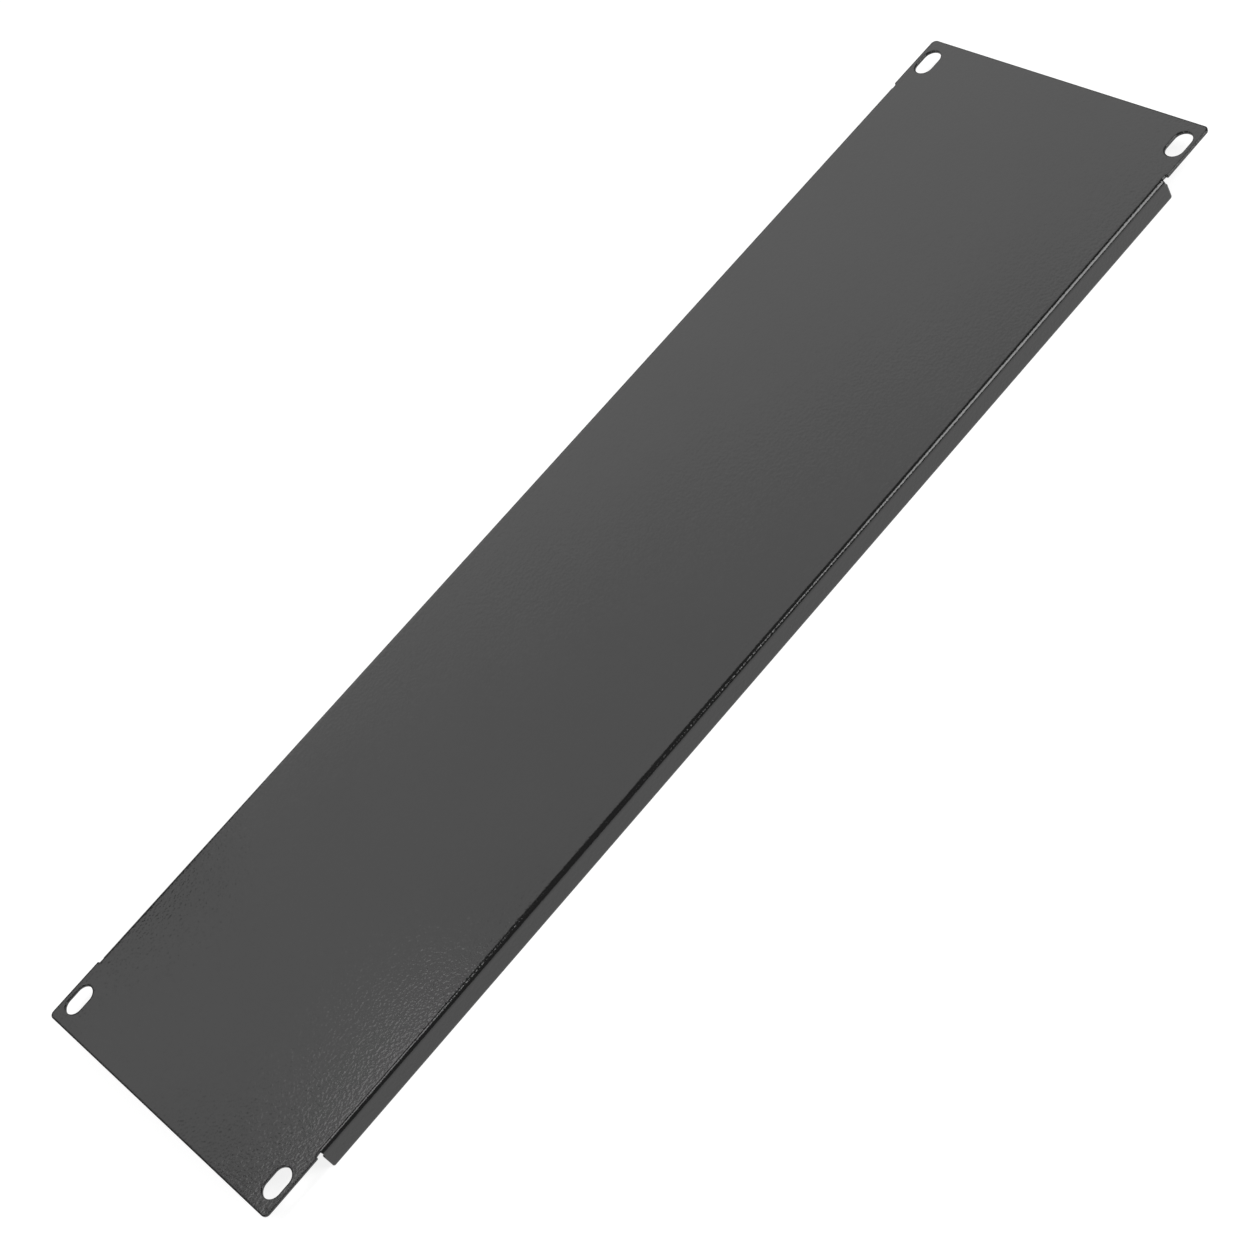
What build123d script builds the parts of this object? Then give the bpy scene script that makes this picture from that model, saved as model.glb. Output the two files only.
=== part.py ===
from build123d import *
import os

# Rack blanking panel, three rack units high: one folded steel sheet, in millimetres.
# X runs along the panel, Y across it and Z out of its face.
# Z = 0 is the surface that its two folded edges stand on.

# The front of the rack
panel_length = 482.6        # over both ears, the 19-inch rack front
unit_height = 44.45         # one rack unit
units = 3                   # rack units that the panel closes
rack_gap = 0.85             # what a panel leaves free of its units, above and below together

# The sheet and its folds
sheet = 1.2                 # steel sheet with its coat
bend_radius = 0.5           # inside radius of each fold
depth = 9.0                 # from the outer face to the free edge of the folds
foot_radius = 0.8           # corners of a fold's free edge

# The ears that lie on the rack's rails
ear_length = 25.55          # from the end of a fold to the end of the panel
ear_inset = 0.25            # the ears' long edges stand back this far from the folds
ear_corner_radius = 2.0     # outer corners of the ears

# The relief at each end of a fold, cut before the sheet is folded
relief_width = 1.8          # along the panel, from the bite in the fold to the ear
relief_bite = 0.7           # how far it reaches into the fold's end
relief_height = 3.0         # down the fold, from the outer face
relief_overcut = 0.05       # past the line where the fold begins
relief_radius = 0.65        # its inner corner on the ear's side
relief_lip = 0.6            # its rounded lip on the ear's edge
bite_radius = 0.3           # its inner corner on the fold's side
bite_lip = 0.3              # its rounded lip on the fold's end

# The screw slots
slot_length = 11.6
slot_width = 7.3
slot_inset = 10.4           # from the end of the panel to a slot's centre
slot_margin = 6.35          # from the edge of a rack unit to its outer hole

# Every cut edge is softened by its coat
edge_radius = 0.25          # on the outside of the panel
back_chamfer = 0.15         # on its inside

# Worked out from the sizes above
body_height = units * unit_height - rack_gap
ear_height = body_height - 2 * ear_inset
bend_outer = bend_radius + sheet
flat_height = body_height - 2 * bend_outer      # between the two lines where the folds begin
neck_height = flat_height - 2 * relief_overcut  # between the reliefs
relief_depth = (ear_height - neck_height) / 2   # from the ear's edge
fold_length = panel_length - 2 * ear_length     # folded edge, from end to end
neck_length = fold_length - 2 * relief_bite     # where the folds join the face
window_length = neck_length + 2 * relief_width  # between the ears' shoulders
slot_spacing_x = panel_length - 2 * slot_inset  # between the centres of the slots
slot_spacing_y = units * unit_height - 2 * slot_margin
near = sheet / 100                              # closer than this is the same place
wall_share = 0.45                               # the most of a wall that one rounded corner takes


def corners(outline, x, y):
    """The corners of an outline that stand x and y from its middle lines."""
    in_line = outline.vertices().filter_by(lambda v: abs(abs(v.X) - x) < near)
    return in_line.filter_by(lambda v: abs(abs(v.Y) - y) < near)


def rounded(outline, x, y, radius, wall):
    """Those corners rounded, by as much of the radius as the wall beside them has room for."""
    return fillet(corners(outline, x, y), min(radius, wall_share * wall))


def channel_section():
    """The sheet cut across: the face, both bends and both folded edges."""
    outside = Rectangle(body_height, depth, align=(Align.CENTER, Align.MIN))
    outside = fillet(outside.vertices().group_by(Axis.Y)[-1], bend_outer)
    inside = Rectangle(body_height - 2 * sheet, depth - sheet, align=(Align.CENTER, Align.MIN))
    inside = fillet(inside.vertices().group_by(Axis.Y)[-1], bend_radius)
    return outside - inside


def fold_outline():
    """A folded edge seen from its side, with its foot corners and the bites of the two reliefs."""
    shoulder = depth - relief_height
    outline = Rectangle(fold_length, depth, align=(Align.CENTER, Align.MIN))
    for side in (-1, 1):
        outline -= Pos(side * fold_length / 2, depth) * Rectangle(2 * relief_bite, 2 * relief_height)
    outline = rounded(outline, fold_length / 2, 0, foot_radius, shoulder)
    outline = rounded(outline, neck_length / 2, shoulder, bite_radius, relief_bite)
    return rounded(outline, fold_length / 2, shoulder, bite_lip, relief_bite)


def folded_body():
    """The face between the ears with its two folded edges, as one bent sheet."""
    channel = extrude(Plane.YZ * channel_section(), amount=fold_length / 2, both=True)
    side = extrude(Plane.XZ * fold_outline(), amount=body_height, both=True)
    return channel & side


def face_outline():
    """The flat of the face with its ears, seen from the front, up to where each fold begins."""
    outline = RectangleRounded(panel_length, ear_height, ear_corner_radius)
    for side in (-1, 1):
        outline -= Pos(0, side * ear_height / 2) * Rectangle(window_length, 2 * relief_depth)
    outline = rounded(outline, window_length / 2, neck_height / 2, relief_radius, relief_depth)
    outline = rounded(outline, window_length / 2, ear_height / 2, relief_lip, relief_depth)
    return outline + Rectangle(neck_length, flat_height)


def screw_slots():
    """Four slots, long way along the panel, which take the rack's screws."""
    slot = SlotOverall(slot_length, slot_width)
    return GridLocations(slot_spacing_x, slot_spacing_y, 2, 2) * slot


def face():
    """The flat sheet of the face and ears with its slots."""
    flat = face_outline() - screw_slots()
    return Pos(0, 0, depth - sheet) * extrude(flat, amount=sheet)


def lies_at(edge, height):
    """Whether an edge lies flat at that height."""
    box = edge.bounding_box()
    return abs(box.min.Z - height) < near and abs(box.max.Z - height) < near


def rims(panel, height):
    """The cut edges at that height: round the ears and their slots and through the reliefs."""
    beyond_neck = panel.edges().filter_by(lambda e: abs(e.center().X) > neck_length / 2 + near)
    return beyond_neck.filter_by(lambda e: lies_at(e, height))


def foot_edges(panel, y):
    """The long edges of the folds' feet that stand y from the panel's middle line."""
    feet = panel.edges().filter_by(lambda e: lies_at(e, 0))
    return feet.filter_by(lambda e: abs(abs(e.center().Y) - y) < near)


def softened(panel):
    """The panel with its cut edges rounded on the outside and broken on the inside."""
    side = body_height / 2
    outer_edges = rims(panel, depth) + foot_edges(panel, side)
    panel = panel.fillet(min(edge_radius, wall_share * sheet), outer_edges)
    inner_edges = rims(panel, depth - sheet) + foot_edges(panel, side - sheet)
    return panel.chamfer(min(back_chamfer, wall_share * sheet), None, inner_edges)


def blanking_panel():
    """The whole panel: one sheet, cut, folded and coated."""
    return softened(folded_body() + face())


os.makedirs("parts", exist_ok=True)
panel = blanking_panel()
print("solids", len(panel.solids()), "volume", round(panel.volume, 1), "valid", panel.is_valid)
print("size", panel.bounding_box().size)
export_step(panel, "parts/blanking_panel.step")
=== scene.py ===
# %% [markdown]
# # A rack blanking panel
# The real object is one sheet of steel, punched flat, folded along its two long edges and then
# powder coated. It closes three rack units at the front of a 19-inch rack.
# This lesson models that one sheet, gives it its black coat, and puts it on a pale floor in
# soft studio light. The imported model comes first, because every size here has to agree with it.

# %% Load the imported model
import bpy
import bmesh
import math
from mathutils import Matrix, Vector


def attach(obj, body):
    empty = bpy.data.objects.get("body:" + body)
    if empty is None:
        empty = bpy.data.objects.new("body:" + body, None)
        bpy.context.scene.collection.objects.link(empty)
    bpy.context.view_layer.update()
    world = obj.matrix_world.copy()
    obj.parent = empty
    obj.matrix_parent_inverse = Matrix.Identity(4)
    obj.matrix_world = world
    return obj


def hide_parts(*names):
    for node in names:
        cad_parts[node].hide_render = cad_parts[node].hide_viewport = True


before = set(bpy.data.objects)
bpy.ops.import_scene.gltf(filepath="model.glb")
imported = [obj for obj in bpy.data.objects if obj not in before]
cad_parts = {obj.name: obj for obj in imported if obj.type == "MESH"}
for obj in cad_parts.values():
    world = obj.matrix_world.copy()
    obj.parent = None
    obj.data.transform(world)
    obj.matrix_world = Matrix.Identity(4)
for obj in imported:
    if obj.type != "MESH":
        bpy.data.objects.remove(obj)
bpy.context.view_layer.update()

# %% [markdown]
# The sheet's sizes are the ones that the real panel is cut and folded to, in millimetres, and
# Blender works in metres, so each is multiplied by one millimetre. The rack standard gives the
# width, the height and the distance between the slots. The rest was measured.

# %% Sizes of the sheet
mm = 0.001
panel_length = 482.6 * mm     # over both ears
body_height = 132.5 * mm      # over both folds
ear_height = 132.0 * mm       # the ears stand back a little from the folds
depth = 9.0 * mm              # from the face to the feet of the folds
sheet = 1.2 * mm              # thickness of the steel with its coat
bend_outer = 1.7 * mm         # outside radius of each fold
fold_length = 431.5 * mm      # a folded edge, from end to end
print("panel", round(panel_length / mm, 1), "x", round(body_height / mm, 1), "mm")

# %% Sizes of the cuts
bite = 0.5 * mm               # how far a relief reaches into the end of a fold
relief_width = 1.9 * mm       # from there to the shoulder of the ear
relief_drop = 2.4 * mm        # how far it runs down the fold
neck_length = fold_length - 2 * bite                # where the folds join the face
window_length = neck_length + 2 * relief_width      # between the ears' shoulders
shoulder = depth - relief_drop
slot_size = (11.6 * mm, 7.3 * mm)
slot_place = (230.9 * mm, 60.325 * mm)              # its centre
print("the neck is", round((panel_length - neck_length) / 2 / mm, 1), "mm from the panel's end")

# %% Rows of faces round a bend
flat_height = body_height - 2 * bend_outer          # between the lines where the folds begin
bend_steps = 8
bend_step = math.pi / 2 / bend_steps
root_rows = 2                 # how many of them the metal beside a relief follows
root = flat_height / 2 + bend_outer * math.sin(root_rows * bend_step)
print("one row turns", math.degrees(bend_step), "degrees")

# %% [markdown]
# Most of the work in edit mode is choosing what the next operator acts on. By hand that is a
# click. Here a small helper selects the corners, edges or faces whose middle passes a test, so
# that each step says in words which part of the sheet it means.

# %% A helper that selects by place
near = 0.01 * mm              # closer than this is the same place
weld = 0.002 * mm             # corners this close become one


def choose(kind, wanted):
    """Select the corners, edges or faces whose middle passes the test, and say how many."""
    bpy.ops.mesh.select_mode(type=kind)
    bpy.ops.mesh.select_all(action="DESELECT")
    mesh = bmesh.from_edit_mesh(bpy.context.object.data)
    parts = {"VERT": mesh.verts, "EDGE": mesh.edges, "FACE": mesh.faces}[kind]
    found = 0
    for part in parts:
        corners = [part] if kind == "VERT" else part.verts
        middle = sum((v.co for v in corners), Vector()) / len(corners)
        if wanted(middle, part):
            part.select_set(True)
            found += 1
    bmesh.update_edit_mesh(bpy.context.object.data)
    return found


def at(middle, x=None, y=None, z=None):
    """Whether a point has the given x, y or z."""
    asked = zip(middle, (x, y, z))
    return all(want is None or abs(have - want) < near for have, want in asked)


def pull(x=0.0, y=0.0, z=0.0):
    """Extrude the chosen edge by that much and leave the new edge chosen."""
    bpy.ops.mesh.extrude_region_move(TRANSFORM_OT_translate={"value": (x, y, z)})

# %% [markdown]
# The panel is the same left and right and top and bottom, so a quarter of the sheet is modelled
# and mirrored twice. The quarter begins as a plane: the flat of the face up to the line where the
# fold begins. Its end edge is pulled out to the ear's shoulder and on to the panel's end. The
# long edge beyond the fold is pulled out to the bottom of the relief, and the ear's part of it
# on to the ear's own edge.

# %% The flat of the face and its ear
bpy.ops.object.select_all(action="DESELECT")
bpy.ops.mesh.primitive_plane_add(size=1, location=(neck_length / 4, flat_height / 4, depth))
panel = bpy.context.object
panel.name = "folded_panel"
panel.scale = (neck_length / 2, flat_height / 2, 1)
bpy.ops.object.transform_apply(location=True, rotation=True, scale=True)
bpy.ops.object.mode_set(mode="EDIT")
choose("EDGE", lambda m, e: at(m, x=neck_length / 2))
pull(x=(window_length - neck_length) / 2)
pull(x=(panel_length - window_length) / 2)
choose("EDGE", lambda m, e: m.x > neck_length / 2 and at(m, y=flat_height / 2))
pull(y=root - flat_height / 2)
ear_middle = (window_length + panel_length) / 4
choose("EDGE", lambda m, e: at(m, x=ear_middle, y=root))
pull(y=ear_height / 2 - root)
print("faces in the flat quarter", len(bmesh.from_edit_mesh(panel.data).faces))

# %% [markdown]
# The relief is only a small cut. The metal beside the end of a fold still follows the first part
# of the bend and blends into the flat ear, so the corners of its strip next to the fold are let
# down to where the rows of the bend will end.

# %% The metal beside the relief
strip = root - flat_height / 2
choose("EDGE", lambda m, e: at(m, x=neck_length / 2, y=flat_height / 2 + strip / 2))
bpy.ops.mesh.subdivide(number_cuts=root_rows - 1)
for row in range(1, root_rows + 1):
    turned = row * bend_step
    flat_y = strip * row / root_rows
    choose("VERT", lambda m, v: at(m, x=neck_length / 2, y=flat_height / 2 + flat_y))
    bpy.ops.transform.translate(value=(0, bend_outer * math.sin(turned) - flat_y,
                                       bend_outer * (math.cos(turned) - 1)))
print("the relief is", round((ear_height / 2 - root) / mm, 2), "mm deep")

# %% [markdown]
# A press brake folds the edge round a blade. Spin does the same to the edge of the plane: it turns
# it a quarter round an axis that lies inside the bend. The straight part of the fold is then
# pulled down in two steps, because the relief bites into its end only as far as the shoulder.

# %% The bend and the folded edge
bend_axis = (0, flat_height / 2, depth - bend_outer)
choose("EDGE", lambda m, e: at(m, x=neck_length / 4, y=flat_height / 2, z=depth))
bpy.ops.mesh.spin(steps=bend_steps, angle=math.pi / 2, center=bend_axis, axis=(1, 0, 0))
choose("EDGE", lambda m, e: at(m, x=neck_length / 4, y=body_height / 2, z=depth - bend_outer))
pull(z=shoulder - (depth - bend_outer))
pull(z=-shoulder)
choose("EDGE", lambda m, e: at(m, x=neck_length / 2, y=body_height / 2, z=shoulder / 2))
pull(x=(fold_length - neck_length) / 2)
bpy.ops.mesh.select_all(action="SELECT")
bpy.ops.mesh.remove_doubles(threshold=weld)
heights = [v.co.z for v in bmesh.from_edit_mesh(panel.data).verts]
widths = [v.co.y for v in bmesh.from_edit_mesh(panel.data).verts]
print("lowest", round(min(heights) / mm, 3), "widest", round(max(widths) / mm, 3))

# %% [markdown]
# Flat faces that lie in one plane become one face, so that a corner can be rounded past the lines
# that the steps before left in it. A punched corner is an arc, and a bevel of a single corner with
# a round profile draws it. Each corner of the real sheet has its own radius: large at the end of
# the ear, small in the relief. In the table, each row has a radius, how many straight pieces the
# arc has, and the place of the corner.

# %% Round the cut corners
flat_enough = 0.99999         # how much of a flat face's normal points straight up
choose("FACE", lambda m, f: abs(f.normal.z) > flat_enough or abs(f.normal.y) > flat_enough)
bpy.ops.mesh.dissolve_limited(angle_limit=math.radians(1))


def round_corner(radius, steps, **place):
    """Round the corner at a place with an arc of that radius."""
    found = choose("VERT", lambda m, v: at(m, **place))
    bpy.ops.mesh.bevel(offset_type="ABSOLUTE", offset=radius, segments=steps,
                       profile=0.5, affect="VERTICES", clamp_overlap=False)
    print("rounded", found, "corner by", round(radius / mm, 2), "mm")


rounded_corners = (
    (2.0 * mm, 10, {"x": panel_length / 2, "y": ear_height / 2}),    # the end of the ear
    (0.5 * mm, 6, {"x": window_length / 2, "y": ear_height / 2}),    # the ear's shoulder
    (0.2 * mm, 4, {"x": neck_length / 2, "z": shoulder}),            # the bottom of the bite
    (0.25 * mm, 4, {"x": fold_length / 2, "z": shoulder}),           # the mouth of the bite
    (0.8 * mm, 8, {"x": fold_length / 2, "z": 0}),                   # the foot of the fold
)
for radius, steps, place in rounded_corners:
    round_corner(radius, steps, **place)

# %% [markdown]
# The slot is drawn as a second plane in the same mesh, with its four corners rounded until they
# meet in half circles. Then both faces are taken out and their edges stay. Fill closes the space
# between the outline and the slot and leaves the slot open, as the punch does.

# %% Punch the slot
bpy.ops.mesh.select_all(action="DESELECT")
bpy.ops.mesh.primitive_plane_add(size=1, location=(*slot_place, depth))
bpy.ops.transform.resize(value=(*slot_size, 1), center_override=(*slot_place, depth))
bpy.ops.mesh.bevel(offset_type="ABSOLUTE", offset=slot_size[1] / 2, segments=12,
                   profile=0.5, affect="VERTICES", clamp_overlap=False)
bpy.ops.mesh.select_all(action="SELECT")
bpy.ops.mesh.remove_doubles(threshold=weld / 2)
choose("FACE", lambda m, f: abs(f.normal.z) > flat_enough)
bpy.ops.mesh.delete(type="ONLY_FACE")
rim = choose("EDGE", lambda m, e: all(at(v.co, z=depth) for v in e.verts))
bpy.ops.mesh.fill(use_beauty=True)
filled = [f for f in bmesh.from_edit_mesh(panel.data).faces if abs(f.normal.z) > flat_enough]
area = sum(face.calc_area() for face in filled)
print("edges round the flat", rim, "its area", round(area / mm ** 2, 1), "mm2")
bpy.ops.object.mode_set(mode="OBJECT")

# %% [markdown]
# Mirror makes the other three quarters. Mirrored faces can end up inside out, so the doubles on
# the seams are merged and the normals recalculated before the sheet gets its thickness.
# A narrow ring is then inset all round the flat. It keeps the rounding of the cut edges apart
# from the broad flat, which would otherwise pick up a false shade from it.

# %% The whole sheet
edge_radius = 0.25 * mm                 # what the coat leaves of a cut edge's sharpness
ring_width = edge_radius + 0.03 * mm    # a little wider than the rounding


def finish_with(kind, **settings):
    """Add a modifier with its settings and apply it."""
    modifier = panel.modifiers.new(kind.lower(), kind)
    for name, value in settings.items():
        setattr(modifier, name, value)
    bpy.ops.object.modifier_apply(modifier=modifier.name)
    print(kind.lower(), "leaves", len(panel.data.polygons), "faces")


finish_with("MIRROR", use_axis=(True, True, False), merge_threshold=weld)
bpy.ops.object.mode_set(mode="EDIT")
bpy.ops.mesh.select_all(action="SELECT")
bpy.ops.mesh.remove_doubles(threshold=weld / 2)
bpy.ops.mesh.normals_make_consistent(inside=False)
choose("FACE", lambda m, f: abs(f.normal.z) > flat_enough)
bpy.ops.mesh.inset(thickness=ring_width, use_boundary=True, use_even_offset=True)
bpy.ops.object.mode_set(mode="OBJECT")
up = max(panel.data.polygons, key=lambda face: face.area).normal.z
print("the face looks", "up" if up > 0 else "down")

# %% [markdown]
# Solidify grows the sheet's thickness inwards, so that the outside keeps its measured size. The
# coat rounds every cut edge, and Bevel does that wherever two faces meet at more than 60 degrees,
# which leaves the fine steps of the bends alone. Where a relief meets its bend, the bevel lifts a
# corner a few hundredths of a millimetre above the face. It is pressed back into the face's
# plane. Weighted normals then keep the flat faces evenly shaded.

# %% Thickness and softened edges
finish_with("SOLIDIFY", thickness=sheet, offset=-1, use_even_offset=True)
finish_with("BEVEL", width=edge_radius, segments=4, limit_method="ANGLE",
            angle_limit=math.radians(60), use_clamp_overlap=False)
bpy.ops.object.shade_smooth_by_angle(angle=math.radians(32))
bpy.ops.object.mode_set(mode="EDIT")
high_corners = choose("VERT", lambda m, v: m.z > depth)
bpy.ops.transform.resize(value=(1, 1, 0), center_override=(0, 0, depth))
bpy.ops.object.mode_set(mode="OBJECT")
print("corners pressed down to the face", high_corners)
finish_with("WEIGHTED_NORMAL", mode="FACE_AREA", weight=100, keep_sharp=True)
low = [min(v.co[i] for v in panel.data.vertices) / mm for i in range(3)]
high = [max(v.co[i] for v in panel.data.vertices) / mm for i in range(3)]
print("from", [round(v, 3) for v in low], "to", [round(v, 3) for v in high])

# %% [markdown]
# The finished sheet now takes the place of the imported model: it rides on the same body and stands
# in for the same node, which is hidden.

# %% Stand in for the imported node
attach(panel, "root")
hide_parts("blanking_panel")

# %% [markdown]
# A finish is a tree of nodes. Three helpers keep the trees short: one turns a colour as it is
# written for screens into the linear light that Blender counts with, one adds a node with its
# settings and links, and one starts a material.

# %% Helpers for materials
def linear(code):
    """The linear colour of an sRGB hex code."""
    parts = [int(code[i:i + 2], 16) / 255 for i in (1, 3, 5)]
    return (*[p / 12.92 if p <= 0.04045 else ((p + 0.055) / 1.055) ** 2.4 for p in parts], 1)


def node(tree, kind, links=None, **settings):
    """Add a node with its settings, and values or links for its inputs."""
    new = tree.nodes.new(kind)
    for name, value in settings.items():
        setattr(new, name, value)
    for name, value in (links or {}).items():
        if isinstance(value, bpy.types.NodeSocket):
            tree.links.new(value, new.inputs[name])
        else:
            new.inputs[name].default_value = value
    return new


def new_material(name):
    """A material with an empty node tree and its output."""
    material = bpy.data.materials.new(name)
    material.use_nodes = True
    material.node_tree.nodes.clear()
    return material, material.node_tree, material.node_tree.nodes.new("ShaderNodeOutputMaterial")

# %% [markdown]
# Powder coat is a dry polyester paint that is sprayed on the steel with static charge and melted
# in an oven. It flows out almost smooth, but keeps a faint orange peel and a fine grain. In black
# it has nearly no colour of its own: what the eye sees is the studio, mirrored softly in its skin.
# While it is molten it draws back from every cut edge and leaves it rounder than the steel under
# it. The Bevel node turns the skin's direction near an edge in the same way.

# %% Satin black powder coat
peel_size = 1.1 * mm          # one wave of the orange peel
peel_height = 0.055 * mm
grain_size = 0.5 * mm         # drawn coarser than the real 0.2 mm, which no pixel would show
grain_height = 0.004 * mm
cloud_size = 45 * mm          # broad, faint changes of the black
melted_edge = 1.0 * mm        # how far from a cut edge the skin is rounded
coat, tree, output = new_material("satin_black_powder_coat")
place = node(tree, "ShaderNodeTexCoord").outputs["Object"]
peel = node(tree, "ShaderNodeTexNoise", {"Vector": place, "Scale": 1 / peel_size, "Detail": 1.0,
                                         "Roughness": 0.5})
grain = node(tree, "ShaderNodeTexNoise", {"Vector": place, "Scale": 1 / grain_size, "Detail": 1.0,
                                          "Roughness": 0.6})
cloud = node(tree, "ShaderNodeTexNoise", {"Vector": place, "Scale": 1 / cloud_size, "Detail": 2.0})
colour = node(tree, "ShaderNodeValToRGB", {"Fac": cloud.outputs["Fac"]})
colour.color_ramp.elements[0].position = 0.35
colour.color_ramp.elements[0].color = linear("#191919")
colour.color_ramp.elements[1].position = 0.65
colour.color_ramp.elements[1].color = linear("#1c1c1c")
gloss = node(tree, "ShaderNodeMapRange", {"Value": grain.outputs["Fac"], "From Min": 0.3,
                                          "From Max": 0.7, "To Min": 0.08, "To Max": 0.12})
melted = node(tree, "ShaderNodeBevel", {"Radius": melted_edge}, samples=8)
waves = node(tree, "ShaderNodeBump", {"Height": peel.outputs["Fac"], "Distance": peel_height,
                                      "Strength": 1.0, "Normal": melted.outputs["Normal"]})
bumps = node(tree, "ShaderNodeBump", {"Height": grain.outputs["Fac"], "Distance": grain_height,
                                      "Strength": 1.0, "Normal": waves.outputs["Normal"]})
skin = node(tree, "ShaderNodeBsdfPrincipled",
            {"Base Color": colour.outputs["Color"], "Roughness": gloss.outputs["Result"],
             "Normal": bumps.outputs["Normal"], "IOR": 1.58, "Metallic": 0.0})
tree.links.new(skin.outputs["BSDF"], output.inputs["Surface"])
panel.data.materials.clear()
panel.data.materials.append(coat)
print("coat nodes", len(tree.nodes))

# %% [markdown]
# The floor is a plain white sheet of paper in a studio. A product photo shows it as pure white, so
# to the camera and in reflections most of its white is its own, and only the rest comes from the
# light that falls on it. The panel's shadow therefore stays on it, but faint. To the panel it
# gives back plain light, as paper does.

# %% The floor
floor_size = 30               # metres, so that its edge never shows
own_white = 0.85              # how much of its white doesn't come from the lights
bpy.ops.object.select_all(action="DESELECT")
bpy.ops.mesh.primitive_plane_add(size=floor_size, location=(0, 0, 0))
floor = bpy.context.object
floor.name = "studio_floor"
paper, tree, output = new_material("white_paper")
path = node(tree, "ShaderNodeLightPath")
seen = node(tree, "ShaderNodeMath", {0: path.outputs["Is Camera Ray"],
                                     1: path.outputs["Is Glossy Ray"]}, operation="MAXIMUM")
shown = node(tree, "ShaderNodeMath", {0: seen.outputs[0], 1: path.outputs["Is Transmission Ray"]},
             operation="MAXIMUM")
glow = node(tree, "ShaderNodeMath", {0: shown.outputs[0], 1: own_white}, operation="MULTIPLY")
matt = node(tree, "ShaderNodeMix", {0: shown.outputs[0], 6: linear("#dedede"),
                                    7: linear("#a2a2a2")}, data_type="RGBA")
sheet_of_paper = node(tree, "ShaderNodeBsdfPrincipled",
                      {"Base Color": matt.outputs[2], "Roughness": 0.9, "Specular IOR Level": 0.0,
                       "Emission Color": (1, 1, 1, 1), "Emission Strength": glow.outputs[0]})
tree.links.new(sheet_of_paper.outputs["BSDF"], output.inputs["Surface"])
floor.data.materials.append(paper)
print("floor nodes", len(tree.nodes))

# %% [markdown]
# Satin black shows what it mirrors. Two large soft lights stand behind the panel, where its flat
# face sees them. The lower, brighter one fills the far half of the face and the upper one the
# near half, and their edges meet where the face changes from one grey to the other. Two strips
# lie flat above the near end. The first makes the coat's grain sparkle there, and the second
# draws a faint line in the near end of the fold. A small light in front, to the right, draws the
# thin bright line along the far half of the fold. The numbers are each light's middle, the point
# that it faces and its size, in metres, and then its brightness.

# %% Lights
def softbox(name, middle, aim, size, brightness):
    """A rectangular soft light; brightness is what its face shows, with 1 for white."""
    lamp = bpy.data.lights.new(name, "AREA")
    lamp.shape = "RECTANGLE"
    lamp.size, lamp.size_y = size
    lamp.energy = 4 * brightness * size[0] * size[1]
    thing = bpy.data.objects.new(name, lamp)
    bpy.context.scene.collection.objects.link(thing)
    away = Vector(middle) - Vector(aim)
    thing.rotation_euler = away.to_track_quat("Z", "Y").to_euler()
    thing.location = middle
    print(name, "shines with", round(lamp.energy, 2), "W")


softbox("back_light", (0.328, 1.049, 1.360), (-0.303, -0.145, 0.0), (1.9, 0.4), 0.83)
softbox("far_light", (0.653, 1.236, 0.906), (0.0, 0.0, 0.1), (1.5, 0.7), 0.99)
softbox("near_light", (-0.51, 0.645, 1.0), (-0.51, 0.646, 0.0), (0.88, 0.20), 2.0)
softbox("top_light", (-0.51, -0.16, 1.0), (-0.51, -0.161, 0.0), (0.88, 0.20), 4.0)
softbox("fold_light", (0.72, -0.97, 0.91), (0.15, -0.066, 0.0), (0.65, 0.95), 4.3)

dark_of_the_room = 0.12       # what the coat mirrors where no light stands
world = bpy.data.worlds.new("dim_studio")
bpy.context.scene.world = world
world.use_nodes = True
background = world.node_tree.nodes["Background"]
background.inputs["Color"].default_value = (1, 1, 1, 1)
background.inputs["Strength"].default_value = dark_of_the_room

# %% [markdown]
# The camera stands above the near end and looks along the panel, turned so that the panel runs
# from corner to corner of the picture. Its place and lens come from matching the four slots and
# the corners of the sheet.

# %% Camera
eye = Vector((-0.20969, -0.6167, 0.65213))
target = Vector((-0.01985, -0.01787, 0.009))
sight = (target - eye).normalized()
level = sight.cross(Vector((0, 0, 1))).normalized()
upright = level.cross(sight)
turn = math.radians(35.806)
top = upright * math.cos(turn) + level * math.sin(turn)
lens = bpy.data.cameras.new("camera")
lens.lens = 76.426
lens.sensor_width = 36
lens.clip_start = 0.01
camera = bpy.data.objects.new("camera", lens)
bpy.context.scene.collection.objects.link(camera)
pose = Matrix((sight.cross(top), top, -sight)).transposed().to_4x4()
pose.translation = eye
camera.matrix_world = pose
bpy.context.scene.camera = camera
bpy.context.scene.view_settings.view_transform = "Standard"
print("the camera stands", round((target - eye).length, 3), "m from what it looks at")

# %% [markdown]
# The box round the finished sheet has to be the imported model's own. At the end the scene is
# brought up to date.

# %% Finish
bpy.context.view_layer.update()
